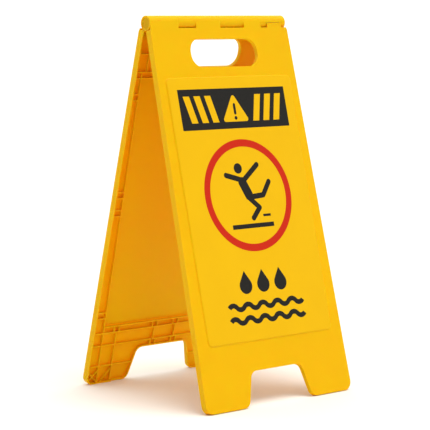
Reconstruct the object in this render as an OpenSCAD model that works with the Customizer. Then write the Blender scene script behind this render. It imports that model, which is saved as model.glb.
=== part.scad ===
// Folding wet floor sign. Two identical ribbed panels share a rolled hinge at the top and stand open
// as an A-frame, with one sheet of printed film on each face.
// The origin is on the floor, straight below the hinge line. +X runs along the hinge, the front
// faces -Y, and +Z is up.

/* [Panels] */
// Length of a panel, from the hinge line to the outer edge of its feet
panel_len = 623; // [600:1:660]
// Width of a panel at the shoulder, just below the hinge
top_w = 291; // [290:1:300]
// Width across the feet
foot_w = 312; // [306:1:330]
// Angle of each panel from the vertical when the sign stands open
lean = 14.1; // [11:0.1:17]
// Thickness of the moulded walls
wall = 2.4; // [2:0.1:2.8]
// Corner radius on the outer side of a foot
foot_r = 15; // [8:1:18]
// Depth of the level sole under a foot, measured from the inner edge of the panel
sole_depth = 7; // [5:0.5:10]

/* [Arch between the feet] */
// Height of the arch above the feet
arch_h = 56; // [40:1:70]
// Width of the arch at its top
arch_top_w = 106; // [90:1:120]
// Width of the arch at the floor
arch_foot_w = 136; // [124:1:160]

/* [Handle slot] */
// Width of the slot
slot_w = 141.4; // [110:0.2:150]
// Height of the slot
slot_h = 46.6; // [44:0.2:48]
// Distance from the hinge line to the top of the slot
slot_top = 29; // [28:1:32]
// Depth of the collar round the slot, measured from the face
slot_collar = 7; // [4:0.5:9]

/* [Hinge] */
// Radius of the rolled top edge
roll_r = 12; // [11:0.5:13]
// Radius of the hinge rod
rod_r = 3; // [2.5:0.5:4]
// Clear distance kept between the two panels
gap = 0.3; // [0.3:0.1:0.5]

/* [Ribs] */
// Thickness of a rib
rib_t = 1.8; // [1.2:0.1:2.2]
// Height of a rib above the inside of the face
rib_h = 5; // [3:0.5:7]

/* [Graphics] */
// Height by which the printed field stands proud of the face
field_rise = 1.2; // [0.8:0.1:1.5]
// Thickness of the film
film_t = 0.2; // [0.1:0.05:0.4]
// Thickness of a layer of print
ink_t = 0.1; // [0.05:0.05:0.2]
// Outer radius of the warning ring
ring_r = 91.5; // [80:0.5:100]
// Width of the warning ring's band
ring_band = 12; // [8:0.5:16]

/* [Hidden] */
$fn = 64;
slop = 0.02;

// Depths are measured outward from the plane in which the folded panels meet
face = roll_r;
inner_face = face - wall;
rib_edge = inner_face - rib_h;
print_face = face + field_rise + film_t;
hinge_z = panel_len * cos(lean) - sole_depth * sin(lean);

// The rolled edge is shared out between the panels. These stretches belong to one panel, and their
// mirror images to the other
roll_end = top_w / 2 - 1.7;
knuckles = [[-roll_end, -87.5], [-51, 0], [51, 87.5]];
knuckle_play = gap / 2;
web_t = wall;
bore_r = rod_r + 0.05;
shoulder_v = roll_r + 0.6;
window_lip_v = roll_r - 1;

// Opening stop: a tongue on one panel meets the edge of a cut in the other panel's end knuckle
tongue_x = [102.5, 132.5];
tongue_top_v = 2.9;
tongue_chamfer = 0.8;
tongue_side_play = 0.8;
stop_angle = asin((tongue_top_v - gap) / roll_r);
skirt_angle = 160;

// Caps in the two ends of the roll
cap_t = 3;
cap_recess = 0.8;
cap_socket = cap_t + cap_recess;
cap_r = roll_r - wall;
rod_len = 2 * (roll_end - cap_socket) - 1;

// Corner radii of the arch, where it meets the sole and at its top
arch_foot_r = 14;
arch_top_r = 13;

// Raised field that carries the film
field_w = 266;
field_top = 91.5;
field_bottom = 521;
field_r = 9;
field_slope = 1.6;
film_margin = 2.2;

// Rows of ribs across the panel and the pairs of ribs that tie them together
top_rows = [82, 92];
short_row = 522;
bottom_rows = [532.5, 555];
foot_row = 592;
border_x = 131.5;
shoulder_rib_x = 122;
foot_rib_x = 104;
arch_rib_x = 22.5;
pair_offset = 5.2;
edge_pairs = [118.5, 284, 315, 495];
edge_pair_pitch = 10.3;
shoulder_row = 52;

// Places of the graphics down the panel
banner_w = 226.6;
banner_top = 111.5;
banner_bottom = 177.8;
ring_v = 287.4;
floor_line = [88, 7.2];
floor_line_v = 337.5;
drops_v = 427;
waves_v = 475.5;

moulded_yellow = [0.98, 0.77, 0.03];
film_yellow = [0.98, 0.76, 0.02];
print_black = [0.16, 0.16, 0.15];
print_red = [0.83, 0.17, 0.07];

// ---- Outlines with rounded corners -------------------------------------------------------------
// A corner is [x, v, radius], with v measured down from the hinge line. Corners run anticlockwise as
// seen from the front.

function flat(c) = [c[0], -c[1]];
function unit(a) = a / norm(a);
function turn(a, b, c) = cross([b[0] - a[0], b[1] - a[1]], [c[0] - b[0], c[1] - b[1]]);
function before(list, i) = list[(i + len(list) - 1) % len(list)];
function after(list, i) = list[(i + 1) % len(list)];
function is_convex(corners, i) =
    turn(flat(before(corners, i)), flat(corners[i]), flat(after(corners, i))) > 0;

// Half the angle between the two edges that meet at a corner
function half_angle(corners, i) =
    let (p = flat(corners[i]),
        a = unit(flat(before(corners, i)) - p),
        b = unit(flat(after(corners, i)) - p))
    acos(a * b) / 2;

// The two points where a corner's arc leaves its edges
function arc_ends(corners, i) =
    let (p = flat(corners[i]),
        a = unit(flat(before(corners, i)) - p),
        b = unit(flat(after(corners, i)) - p),
        d = corners[i][2] / tan(half_angle(corners, i)))
    [p + a * d, p + b * d];

function arc_centre(corners, i) =
    let (p = flat(corners[i]),
        a = unit(flat(before(corners, i)) - p),
        b = unit(flat(after(corners, i)) - p))
    p + unit(a + b) * corners[i][2] / sin(half_angle(corners, i));

// Moves every edge inward by d. The arcs keep their centres, so the wall between has an even thickness
function inset(corners, d) = [for (i = [0 : len(corners) - 1])
    let (convex = is_convex(corners, i),
        p = flat(corners[i]),
        inward = unit(arc_centre(corners, i) - p) * (convex ? 1 : -1),
        q = p + inward * d / sin(half_angle(corners, i)))
    [q[0], -q[1], corners[i][2] + (convex ? -d : d)]];

module rounded(corners) {
    last = len(corners) - 1;
    difference() {
        union() {
            polygon([for (i = [0 : last]) each arc_ends(corners, i)]);
            for (i = [0 : last])
                if (is_convex(corners, i)) translate(arc_centre(corners, i)) circle(corners[i][2]);
        }
        for (i = [0 : last])
            if (!is_convex(corners, i)) translate(arc_centre(corners, i)) circle(corners[i][2]);
    }
}

function box_corners(w, top, bottom, r) =
    [[-w / 2, top, r], [-w / 2, bottom, r], [w / 2, bottom, r], [w / 2, top, r]];

panel_corners = [
    [-top_w / 2, shoulder_v, 3],
    [-foot_w / 2, panel_len, foot_r],
    [-arch_foot_w / 2, panel_len, arch_foot_r],
    [-arch_top_w / 2, panel_len - arch_h, arch_top_r],
    [arch_top_w / 2, panel_len - arch_h, arch_top_r],
    [arch_foot_w / 2, panel_len, arch_foot_r],
    [foot_w / 2, panel_len, foot_r],
    [top_w / 2, shoulder_v, 3]];
slot_corners = box_corners(slot_w, slot_top, slot_top + slot_h, 21);
field_corners = box_corners(field_w, field_top, field_bottom, field_r);

// ---- Placing ------------------------------------------------------------------------------------

// Thickens a flat outline between two depths of the panel
module slab(from, to) {
    translate([0, -from, 0]) rotate([90, 0, 0]) linear_extrude(to - from) children();
}

// Runs a cross-section along the hinge
module along_hinge(from, to) {
    translate([from, 0, 0]) rotate([90, 0, 90]) linear_extrude(to - from) children();
}

module as_front() {
    translate([0, 0, hinge_z]) rotate([-lean, 0, 0]) children();
}

module as_rear() {
    rotate([0, 0, 180]) as_front() children();
}

// A straight bar between two points of the panel, with square ends
module bar(a, b, width) {
    along = flat(b) - flat(a);
    translate(flat(a)) rotate(atan2(along[1], along[0])) translate([0, -width / 2])
        square([norm(along), width]);
}

// A broad line through the points, with round ends and joints
module stroke(points, width) {
    for (i = [1 : len(points) - 1]) hull()
        for (p = [points[i - 1], points[i]]) translate(flat(p)) circle(width / 2, $fn = 32);
}

module both_sides() {
    children();
    mirror([1, 0, 0]) children();
}

// A wedge of the hinge's cross-section, by angle from the face's normal towards the feet
module wedge(from, to) {
    reach = 2 * roll_r;
    steps = 6;
    polygon([[0, 0], for (i = [0 : steps])
        let (angle = from + (to - from) * i / steps) reach * [-cos(angle), -sin(angle)]]);
}

// ---- Panel ---------------------------------------------------------------------------------------

module knuckle_shell(skirt) {
    difference() {
        circle(roll_r);
        circle(roll_r - wall);
        wedge(0, skirt);
    }
    translate([-face, -shoulder_v - wall / 2]) square([wall, shoulder_v + wall / 2]);
}

module knuckle_web() {
    circle(roll_r - wall / 2);
    translate([-face, -shoulder_v - wall / 2]) square([face - gap, shoulder_v + wall / 2]);
}

// One stretch of the roll. Webs inside it carry the rod
module knuckle(from, to) {
    span = to - from;
    webs = ceil(span / 20);
    along_hinge(from, to) knuckle_shell(skirt_angle);
    for (i = [0 : webs])
        let (x = from + (span - web_t) * i / webs) along_hinge(x, x + web_t) knuckle_web();
}

// The end stretch also has the socket for a rod cap, and the cut that takes the other panel's tongue
module end_knuckle(from, to) {
    cut = [-tongue_x[1] - tongue_side_play, -tongue_x[0] + tongue_side_play];
    difference() {
        union() {
            along_hinge(from, to) knuckle_shell(skirt_angle);
            along_hinge(from, from + cap_socket + web_t) circle(roll_r);
        }
        along_hinge(from - slop, from + cap_socket) circle(cap_r);
        along_hinge(cut[0], cut[1]) wedge(100, 180 + 2 * lean - stop_angle);
    }
    for (x = [from + cap_socket, cut[1] + 1, to - web_t])
        along_hinge(x, x + web_t) knuckle_web();
}

module tongue() {
    along_hinge(tongue_x[0], tongue_x[1])
        polygon([[-inner_face, -tongue_top_v], [-face + tongue_chamfer, -tongue_top_v],
            [-face, -tongue_top_v - tongue_chamfer], [-face, -shoulder_v - wall / 2],
            [-inner_face, -shoulder_v - wall / 2]]);
}

module rolled_edge() {
    difference() {
        union() {
            end_knuckle(knuckles[0][0], knuckles[0][1] - knuckle_play);
            for (i = [1, 2])
                knuckle(knuckles[i][0] + knuckle_play, knuckles[i][1] - knuckle_play);
        }
        along_hinge(-roll_end - slop, roll_end) circle(bore_r);
    }
    tongue();
    slab(inner_face, face)
        rounded(box_corners(top_w - 2, window_lip_v, shoulder_v + 4, 0.5));
}

// Ribs seen on the back of the face, as a flat pattern for one half of the panel
module rib_pattern() {
    foot = panel_len;
    edge = foot_w / 2;
    for (v = concat(top_rows, bottom_rows)) bar([0, v], [edge, v], rib_t);
    bar([0, short_row], [border_x, short_row], rib_t);
    bar([arch_top_w / 2, foot_row], [edge, foot_row], rib_t);
    bar([shoulder_rib_x, shoulder_row], [edge, shoulder_row], rib_t);
    bar([shoulder_rib_x, shoulder_v], [shoulder_rib_x, top_rows[0]], rib_t);
    bar([border_x, top_rows[0]], [border_x, foot], rib_t);
    bar([foot_rib_x, bottom_rows[0]], [foot_rib_x, foot], rib_t);
    bar([arch_rib_x, bottom_rows[0]], [arch_rib_x, bottom_rows[1]], rib_t);
    for (v = edge_pairs, step = [0, edge_pair_pitch]) bar([border_x, v + step], [edge, v + step], rib_t);
    for (x = [foot_rib_x, arch_rib_x], side = [-pair_offset, pair_offset])
        bar([x + side, short_row], [x + side, bottom_rows[0]], rib_t);
    for (side = [-pair_offset, pair_offset])
        bar([arch_rib_x + side, bottom_rows[1]], [arch_rib_x + side, foot - arch_h], rib_t);
    foot_braces();
}

module foot_braces() {
    low = panel_len - wall;
    high = low - 22;
    rim = foot_w / 2 - wall;
    bar([border_x, low], [rim, high], rib_t);
    bar([border_x, high], [rim, low], rib_t);
    bar([foot_rib_x + 2, high], [foot_rib_x + 20, low], rib_t);
}

// A slot collar stands on the back of the face and stiffens the hand grip
module slot_collar_ring() {
    slab(face - slot_collar, face - slop) rounded(inset(slot_corners, -wall));
}

// A tray with a rim. Between the outer ribs of the feet the rim is only as high as the ribs
module panel_body() {
    difference() {
        slab(gap, face) rounded(panel_corners);
        slab(gap - slop, inner_face) rounded(inset(panel_corners, wall));
        slab(gap - slop, rib_edge) translate([-foot_rib_x, -panel_len - wall])
            square([2 * foot_rib_x, panel_len + wall - bottom_rows[1]]);
    }
}

// The field's edge slopes, so that it catches the light
module raised_field() {
    slab(inner_face - slop, face) rounded(field_corners);
    hull() {
        slab(face - slop, face) rounded(field_corners);
        slab(face, face + field_rise) rounded(inset(field_corners, field_slope));
    }
}

// Everything below the floor, so that the feet stand level on it
module below_floor() {
    reach = 3 * roll_r;
    translate([0, 0, -hinge_z / cos(lean)]) rotate([lean, 0, 0])
        translate([-foot_w, -reach, -reach]) cube([2 * foot_w, 2 * reach, reach]);
}

module panel() {
    difference() {
        union() {
            panel_body();
            raised_field();
            slab(rib_edge, inner_face + slop) intersection() {
                rounded(inset(panel_corners, wall / 2));
                both_sides() rib_pattern();
            }
            slot_collar_ring();
            rolled_edge();
        }
        slab(inner_face - 2 * slop, inner_face + field_rise) rounded(inset(field_corners, wall));
        slab(-slop, face + 1) rounded(slot_corners);
        below_floor();
    }
}

module front_panel() color(moulded_yellow) as_front() panel();
module rear_panel() color(moulded_yellow) as_rear() panel();

// ---- Hinge rod and its caps ------------------------------------------------------------------------

module hinge_rod() {
    color("silver") translate([-rod_len / 2, 0, hinge_z]) rotate([0, 90, 0]) cylinder(h = rod_len, r = rod_r);
}

module left_rod_cap() {
    color(moulded_yellow) translate([-roll_end + cap_recess, 0, hinge_z]) rotate([0, 90, 0])
        cylinder(h = cap_t, r = cap_r);
}

module right_rod_cap() mirror([1, 0, 0]) left_rod_cap();

// ---- Film and print --------------------------------------------------------------------------------

module film() {
    slab(face + field_rise, print_face) rounded(inset(field_corners, film_margin));
}

module printed() {
    slab(print_face, print_face + ink_t) children();
}

// Warning triangle with a bar and a dot, between slanted hazard bars
module banner_print() {
    mid = (banner_top + banner_bottom) / 2;
    half = 22;
    sign_top = mid - half;
    sign_bottom = mid + half;
    bar_w = 13;
    printed() {
        difference() {
            rounded(box_corners(banner_w, banner_top, banner_bottom, 0.6));
            rounded([[0, sign_top - 3, 4], [-29, sign_bottom, 4], [29, sign_bottom, 4]]);
            both_sides() for (x = [36 : 22 : 80])
                polygon([[x, -sign_bottom], [x + bar_w, -sign_bottom],
                    [x + bar_w + half / 2, -sign_top], [x + half / 2, -sign_top]]);
        }
        stroke([[0, mid - 6], [0, mid + 8]], 5);
        translate(flat([0, mid + 16])) circle(3);
    }
}

module ring_print() {
    printed() translate(flat([0, ring_v])) difference() {
        circle(ring_r);
        circle(ring_r - ring_band);
    }
}

// A plain figure that slips over backwards
module figure_print() {
    limb = 8.8;
    printed() {
        translate(flat([-14, 243])) circle(8.5);
        stroke([[-9, 266], [1, 288]], 17);
        stroke([[-11, 262], [-41, 253]], limb);
        stroke([[-7, 264], [27, 239]], limb);
        stroke([[3, 291], [31, 289], [47, 268]], limb);
        stroke([[0, 292], [19, 309], [3, 325]], limb);
        bar([24, 322], [40, 322], 4);
    }
}

module floor_line_print() {
    printed() rounded(box_corners(floor_line[0], floor_line_v - floor_line[1] / 2,
        floor_line_v + floor_line[1] / 2, 0.6));
}

module drop(r, height) {
    tip = height - r;
    spread = acos(r / tip);
    circle(r);
    polygon([[0, tip], r * [-sin(spread), cos(spread)], [0, 0], r * [sin(spread), cos(spread)]]);
}

module drops_print() {
    printed() for (x = [-37, 0, 37]) translate(flat([x, drops_v + 5])) drop(13, 37);
}

// One arch of a wave line. Its arc is a part of a ring, and laps a little over the next one
module wave_arc(chord, half_turn, width) {
    r = chord / 2 / sin(half_turn);
    reach = 2 * r;
    side = half_turn + 1;
    translate([0, -r * cos(half_turn)]) intersection() {
        difference() {
            circle(r + width / 2);
            circle(r - width / 2);
        }
        polygon([[0, 0], reach * [sin(side), cos(side)], [reach / 2, 2 * reach],
            [-reach / 2, 2 * reach], reach * [-sin(side), cos(side)]]);
    }
}

module waves_print() {
    arcs = 10;
    chord = 15.7;
    rows = 21.6;
    printed() for (row = [-0.5, 0.5], i = [0 : arcs - 1])
        translate(flat([(i - (arcs - 1) / 2) * chord, waves_v + row * rows]))
            rotate(i % 2 == 0 ? 0 : 180) wave_arc(chord, 50, 8);
}

module front_film() color(film_yellow) as_front() film();
module rear_film() color(film_yellow) as_rear() film();
module front_banner_print() color(print_black) as_front() banner_print();
module rear_banner_print() color(print_black) as_rear() banner_print();
module front_ring_print() color(print_red) as_front() ring_print();
module rear_ring_print() color(print_red) as_rear() ring_print();
module front_figure_print() color(print_black) as_front() figure_print();
module rear_figure_print() color(print_black) as_rear() figure_print();
module front_floor_line_print() color(print_black) as_front() floor_line_print();
module rear_floor_line_print() color(print_black) as_rear() floor_line_print();
module front_drops_print() color(print_black) as_front() drops_print();
module rear_drops_print() color(print_black) as_rear() drops_print();
module front_waves_print() color(print_black) as_front() waves_print();
module rear_waves_print() color(print_black) as_rear() waves_print();

front_panel();
rear_panel();
hinge_rod();
left_rod_cap();
right_rod_cap();
front_film();
rear_film();
front_banner_print();
rear_banner_print();
front_ring_print();
rear_ring_print();
front_figure_print();
rear_figure_print();
front_floor_line_print();
rear_floor_line_print();
front_drops_print();
rear_drops_print();
front_waves_print();
rear_waves_print();
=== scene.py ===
"""Looks for the folding floor sign: moulded panels, printed films, rod and caps, in a plain white studio."""
import math

import bpy
from mathutils import Matrix, Vector


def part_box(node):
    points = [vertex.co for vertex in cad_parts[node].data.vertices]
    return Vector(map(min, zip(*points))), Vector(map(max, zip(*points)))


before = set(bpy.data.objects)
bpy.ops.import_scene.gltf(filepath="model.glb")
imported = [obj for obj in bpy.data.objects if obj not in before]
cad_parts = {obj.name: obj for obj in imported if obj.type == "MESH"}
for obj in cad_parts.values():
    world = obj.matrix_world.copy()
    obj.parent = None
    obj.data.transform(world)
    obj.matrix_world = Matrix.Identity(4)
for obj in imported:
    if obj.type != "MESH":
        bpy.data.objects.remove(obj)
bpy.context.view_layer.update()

SIDES = ("front", "rear")
OUTWARD = {"front": (0, -1, 0), "rear": (0, 1, 0)}

# ---- Camera -------------------------------------------------------------------------------------
CAMERA_AT = (-1.912, -2.248, 0.6075)
CAMERA_YAW = -40.37
CAMERA_PITCH = 6.18
CAMERA_ROLL = -0.15
CAMERA_LENS = 150.9


def add_camera():
    data = bpy.data.cameras.new("camera")
    data.lens = CAMERA_LENS
    data.clip_end = 100
    camera = bpy.data.objects.new("camera", data)
    turn = Matrix.Rotation(math.radians(CAMERA_YAW), 4, "Z")
    tilt = Matrix.Rotation(math.radians(90 - CAMERA_PITCH), 4, "X")
    roll = Matrix.Rotation(math.radians(CAMERA_ROLL), 4, "Z")
    camera.matrix_world = Matrix.Translation(CAMERA_AT) @ turn @ tilt @ roll
    bpy.context.scene.collection.objects.link(camera)
    bpy.context.scene.camera = camera


# ---- Studio -------------------------------------------------------------------------------------
# The walls grow from ROOM_LIGHT to BRIGHT_LIGHT as a direction turns towards BRIGHT_SIDE: BRIGHT_EDGE
# holds the cosines where that starts and ends
BRIGHT_SIDE = (0.5, 0.6, 0.62)
BRIGHT_LIGHT = 1.22
BRIGHT_EDGE = (-0.2, 0.6)
ROOM_LIGHT = 0.41
KEY_FROM = (0.05, -0.36, 1.0)
KEY_STRENGTH = 1.9
KEY_ANGLE = 45
FLOOR_SIZE = 60
FLOOR_COLOR = (0.85, 0.825, 0.77)


def add_world():
    """A studio that lights the sign from overhead and behind, with plain white walls on every side."""
    world = bpy.data.worlds.new("studio")
    world.use_nodes = True
    tree = world.node_tree
    background = tree.nodes["Background"]
    background.inputs["Color"].default_value = (1, 1, 1, 1)
    direction = tree.nodes.new("ShaderNodeTexCoord").outputs["Generated"]
    facing = tree.nodes.new("ShaderNodeVectorMath")
    facing.operation = "DOT_PRODUCT"
    facing.inputs[1].default_value = BRIGHT_SIDE
    tree.links.new(direction, facing.inputs[0])
    strength = tree.nodes.new("ShaderNodeMapRange")
    strength.interpolation_type = "SMOOTHSTEP"
    strength.inputs["From Min"].default_value = BRIGHT_EDGE[0]
    strength.inputs["From Max"].default_value = BRIGHT_EDGE[1]
    strength.inputs["To Min"].default_value = ROOM_LIGHT
    strength.inputs["To Max"].default_value = BRIGHT_LIGHT
    tree.links.new(facing.outputs["Value"], strength.inputs["Value"])
    seen = tree.nodes.new("ShaderNodeMath")
    seen.operation = "MAXIMUM"
    tree.links.new(strength.outputs["Result"], seen.inputs[0])
    tree.links.new(tree.nodes.new("ShaderNodeLightPath").outputs["Is Camera Ray"], seen.inputs[1])
    tree.links.new(seen.outputs["Value"], background.inputs["Strength"])
    bpy.context.scene.world = world


def add_key():
    """One large soft key, high above the sign and a little in front of it."""
    data = bpy.data.lights.new("key", "SUN")
    data.energy = KEY_STRENGTH
    data.angle = math.radians(KEY_ANGLE)
    lamp = bpy.data.objects.new("key", data)
    lamp.rotation_mode = "QUATERNION"
    lamp.rotation_quaternion = Vector(KEY_FROM).to_track_quat("Z", "Y")
    bpy.context.scene.collection.objects.link(lamp)


def add_floor():
    bpy.ops.mesh.primitive_plane_add(size=FLOOR_SIZE)
    floor = bpy.context.object
    floor.name = "floor"
    floor.data.materials.append(floor_material())


def floor_material():
    kit = Nodes("floor")
    kit.shader.inputs["Base Color"].default_value = (*FLOOR_COLOR, 1)
    kit.shader.inputs["Roughness"].default_value = 0.9
    kit.shader.inputs["Specular IOR Level"].default_value = 0.1
    return kit.material


# ---- Materials ----------------------------------------------------------------------------------
class Nodes:
    """A Principled material and the few node calls that the materials share."""

    def __init__(self, name):
        self.material = bpy.data.materials.new(name)
        self.material.use_nodes = True
        self.tree = self.material.node_tree
        self.shader = self.tree.nodes["Principled BSDF"]
        coordinates = self.tree.nodes.new("ShaderNodeTexCoord")
        self.place = coordinates.outputs["Object"]

    def add(self, kind, **settings):
        node = self.tree.nodes.new("ShaderNode" + kind)
        for key, value in settings.items():
            setattr(node, key, value)
        return node

    def link(self, source, target):
        self.tree.links.new(source, target)

    def height(self):
        node = self.add("SeparateXYZ")
        self.link(self.place, node.inputs["Vector"])
        return node.outputs["Z"]

    def noise(self, scale, detail=3, roughness=0.5):
        node = self.add("TexNoise")
        node.inputs["Scale"].default_value = scale
        node.inputs["Detail"].default_value = detail
        node.inputs["Roughness"].default_value = roughness
        self.link(self.place, node.inputs["Vector"])
        return node.outputs["Fac"]

    def spread(self, source, low, high, out_low=0.0, out_high=1.0):
        """Maps the range low..high of a value to out_low..out_high."""
        node = self.add("MapRange")
        node.inputs["From Min"].default_value = low
        node.inputs["From Max"].default_value = high
        node.inputs["To Min"].default_value = out_low
        node.inputs["To Max"].default_value = out_high
        self.link(source, node.inputs["Value"])
        return node.outputs["Result"]

    def mix(self, factor, a, b):
        """Mixes two colours, each a tuple or a socket."""
        node = self.add("Mix", data_type="RGBA")
        self.link(factor, node.inputs["Factor"])
        for socket, value in ((node.inputs[6], a), (node.inputs[7], b)):
            if isinstance(value, tuple):
                socket.default_value = (*value, 1)
            else:
                self.link(value, socket)
        return node.outputs[2]

    def bump(self, height, distance, strength=1.0, normal=None):
        node = self.add("Bump")
        node.inputs["Distance"].default_value = distance
        node.inputs["Strength"].default_value = strength
        self.link(height, node.inputs["Height"])
        if normal is not None:
            self.link(normal, node.inputs["Normal"])
        return node.outputs["Normal"]

    def rounded_edges(self, radius):
        node = self.add("Bevel", samples=4)
        node.inputs["Radius"].default_value = radius
        return node.outputs["Normal"]

    def edge_mask(self, radius):
        """1 along sharp edges and 0 on open faces: how far a rounded normal leans away from the true one."""
        geometry = self.add("NewGeometry")
        dot = self.add("VectorMath", operation="DOT_PRODUCT")
        self.link(self.rounded_edges(radius), dot.inputs[0])
        self.link(geometry.outputs["Normal"], dot.inputs[1])
        return self.spread(dot.outputs["Value"], 0.98, 0.75)

    # Painted shade: picks the corners and crevices that ambient occlusion finds, which get a deeper orange
    # tone
    def painted_crevice_shade_mask(self, distance):
        node = self.add("AmbientOcclusion", samples=6)
        node.inputs["Distance"].default_value = distance
        return self.spread(node.outputs["AO"], 0.9, 0.4)


# Base colours, linear. The inside's tones are painted shade, paler towards the feet as painted light bounced
# from the floor, and the corner tone is painted shade
YELLOW = (0.79, 0.465, 0.0)
YELLOW_WARM = (0.77, 0.445, 0.0)
YELLOW_WORN = (0.86, 0.55, 0.01)
PAINTED_INSIDE_SHADE = (1.0, 0.50, 0.0)
PAINTED_INSIDE_BOUNCE_LIGHT = (1.0, 0.56, 0.0)
WORN_EDGE_IN_PAINTED_INSIDE_SHADE = (1.0, 0.60, 0.02)
PAINTED_CREVICE_SHADE = (1.0, 0.46, 0.0)
CAP_YELLOW = (0.66, 0.36, 0.0)
CAP_YELLOW_WARM = (0.62, 0.33, 0.0)
FILM_YELLOW = (0.80, 0.46, 0.0)
FILM_YELLOW_WARM = (0.785, 0.445, 0.0)
BLACK = (0.014, 0.013, 0.011)
BLACK_PALER = (0.021, 0.019, 0.017)
RED = (0.54, 0.018, 0.003)
RED_PALER = (0.58, 0.026, 0.006)
STEEL = (0.55, 0.55, 0.53)
STEEL_PALER = (0.66, 0.66, 0.65)

# How far light spreads inside the plastic, in metres, and each colour's share of that distance
SCATTER_DEPTH = 0.004
SCATTER_SHARES = (1.0, 0.35, 0.05)
PLASTIC_SPECULAR = 0.08
PRINT_SPECULAR = 0.12

EDGE_RADIUS = 0.0006
WORN_EDGE = 0.0009
# How far the painted crevice shade reaches, in metres
CREVICE_SHADE_REACH = 0.008


# Heights at rest between which the painted inside shade comes in under the roll, and turns paler towards the
# feet as painted floor-bounce light
HINGE_Z = sum(corner[2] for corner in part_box("hinge_rod")) / 2
BELOW_ROLL = (HINGE_Z - 0.018, HINGE_Z - 0.028)
NEAR_FLOOR = (0.28, 0.08)


def painted_inside_shade_mask(kit, outward):
    """1 where a panel's surface below the roll faces the inside of the sign, whatever the panel's pose:
    where the painted inside shade goes.
    """
    coordinates = kit.add("TexCoord")
    dot = kit.add("VectorMath", operation="DOT_PRODUCT")
    dot.inputs[1].default_value = outward
    kit.link(coordinates.outputs["Normal"], dot.inputs[0])
    below_roll = kit.spread(kit.height(), *BELOW_ROLL)
    both = kit.add("Math", operation="MULTIPLY")
    kit.link(kit.spread(dot.outputs["Value"], -0.35, -0.75), both.inputs[0])
    kit.link(below_roll, both.inputs[1])
    return both.outputs["Value"]


def moulded_plastic(name, color, warmer, outward=None):
    """Satin polypropylene: fine grain, paler edges, painted shade and painted floor-bounce light on the
    inside, and painted shade in corners.
    """
    kit = Nodes(name)
    cloudy = kit.spread(kit.noise(9, detail=4), 0.35, 0.65)
    color = kit.mix(cloudy, color, warmer)
    worn_and_shaded_edge = YELLOW_WORN
    if outward:
        # Painted shade on the faces inside the sign, turning paler towards the feet as painted floor-bounce
        # light
        inside = painted_inside_shade_mask(kit, outward)
        painted_inside_tone = kit.mix(kit.spread(kit.height(), *NEAR_FLOOR), PAINTED_INSIDE_SHADE, PAINTED_INSIDE_BOUNCE_LIGHT)
        color = kit.mix(inside, color, painted_inside_tone)
        worn_and_shaded_edge = kit.mix(inside, YELLOW_WORN, WORN_EDGE_IN_PAINTED_INSIDE_SHADE)
    color = kit.mix(kit.edge_mask(WORN_EDGE), color, worn_and_shaded_edge)
    # Painted shade: corners and crevices turn a deeper orange where less light reaches
    color = kit.mix(kit.painted_crevice_shade_mask(CREVICE_SHADE_REACH), color, PAINTED_CREVICE_SHADE)
    kit.link(color, kit.shader.inputs["Base Color"])
    rough = kit.spread(kit.noise(35, detail=5, roughness=0.6), 0.3, 0.7, 0.42, 0.54)
    kit.link(rough, kit.shader.inputs["Roughness"])
    rounded = kit.rounded_edges(EDGE_RADIUS)
    grain = kit.bump(kit.noise(1400, detail=2), distance=0.00012, strength=0.35, normal=rounded)
    uneven = kit.bump(kit.noise(60, detail=2), distance=0.0006, strength=0.15, normal=grain)
    kit.link(uneven, kit.shader.inputs["Normal"])
    kit.shader.inputs["Specular IOR Level"].default_value = PLASTIC_SPECULAR
    kit.shader.inputs["Subsurface Weight"].default_value = 0.6
    kit.shader.inputs["Subsurface Radius"].default_value = SCATTER_SHARES
    kit.shader.inputs["Subsurface Scale"].default_value = SCATTER_DEPTH
    return kit.material


def film():
    """Matt vinyl film: smoother than the moulding, with a faint orange peel."""
    kit = Nodes("film")
    cloudy = kit.spread(kit.noise(14, detail=3), 0.35, 0.65)
    kit.link(kit.mix(cloudy, FILM_YELLOW, FILM_YELLOW_WARM), kit.shader.inputs["Base Color"])
    rough = kit.spread(kit.noise(50, detail=4), 0.3, 0.7, 0.36, 0.44)
    kit.link(rough, kit.shader.inputs["Roughness"])
    peel = kit.bump(kit.noise(260, detail=2), distance=0.0002, strength=0.12)
    kit.link(peel, kit.shader.inputs["Normal"])
    kit.shader.inputs["Specular IOR Level"].default_value = PRINT_SPECULAR
    return kit.material


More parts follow.
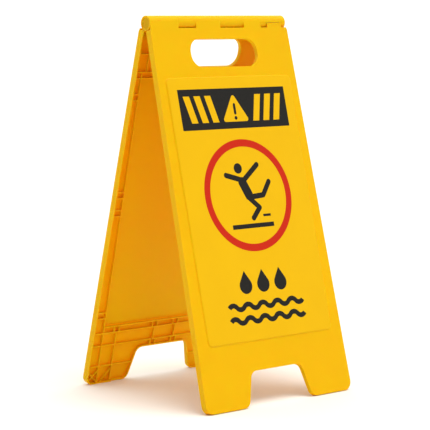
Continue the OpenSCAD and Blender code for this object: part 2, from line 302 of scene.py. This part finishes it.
def ink(name, color, paler):
    """A layer of print, very slightly uneven in tone."""
    kit = Nodes(name)
    speckle = kit.spread(kit.noise(700, detail=3, roughness=0.7), 0.45, 0.8)
    kit.link(kit.mix(speckle, color, paler), kit.shader.inputs["Base Color"])
    rough = kit.spread(kit.noise(80, detail=4), 0.3, 0.7, 0.38, 0.5)
    kit.link(rough, kit.shader.inputs["Roughness"])
    tooth = kit.bump(kit.noise(900, detail=2), distance=0.00008, strength=0.2)
    kit.link(tooth, kit.shader.inputs["Normal"])
    kit.shader.inputs["Specular IOR Level"].default_value = PRINT_SPECULAR
    return kit.material


def drawn_steel():
    """Bare drawn rod: bright, a little cloudy, with fine pitting."""
    kit = Nodes("drawn_steel")
    kit.shader.inputs["Metallic"].default_value = 1
    cloudy = kit.noise(120, detail=4)
    kit.link(kit.mix(cloudy, STEEL, STEEL_PALER), kit.shader.inputs["Base Color"])
    kit.link(kit.spread(kit.noise(300, detail=3), 0.3, 0.7, 0.25, 0.4), kit.shader.inputs["Roughness"])
    pitting = kit.bump(kit.noise(1500, detail=2), distance=0.00005, strength=0.3)
    kit.link(pitting, kit.shader.inputs["Normal"])
    return kit.material


def dress(node, material):
    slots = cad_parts[node].data.materials
    slots.clear()
    slots.append(material)


def dress_nodes():
    cap_plastic = moulded_plastic("cap_plastic", CAP_YELLOW, CAP_YELLOW_WARM)
    vinyl = film()
    black = ink("black_ink", BLACK, BLACK_PALER)
    red = ink("red_ink", RED, RED_PALER)
    dress("hinge_rod", drawn_steel())
    for end in ("left", "right"):
        dress(end + "_rod_cap", cap_plastic)
    for side in SIDES:
        panel_plastic = moulded_plastic(side + "_plastic", YELLOW, YELLOW_WARM, OUTWARD[side])
        dress(side + "_panel", panel_plastic)
        dress(side + "_film", vinyl)
        dress(side + "_ring_print", red)
        for shape in ("banner", "figure", "floor_line", "drops", "waves"):
            dress(f"{side}_{shape}_print", black)


add_camera()
bpy.context.scene.view_settings.view_transform = "Standard"
add_world()
add_key()
add_floor()
dress_nodes()
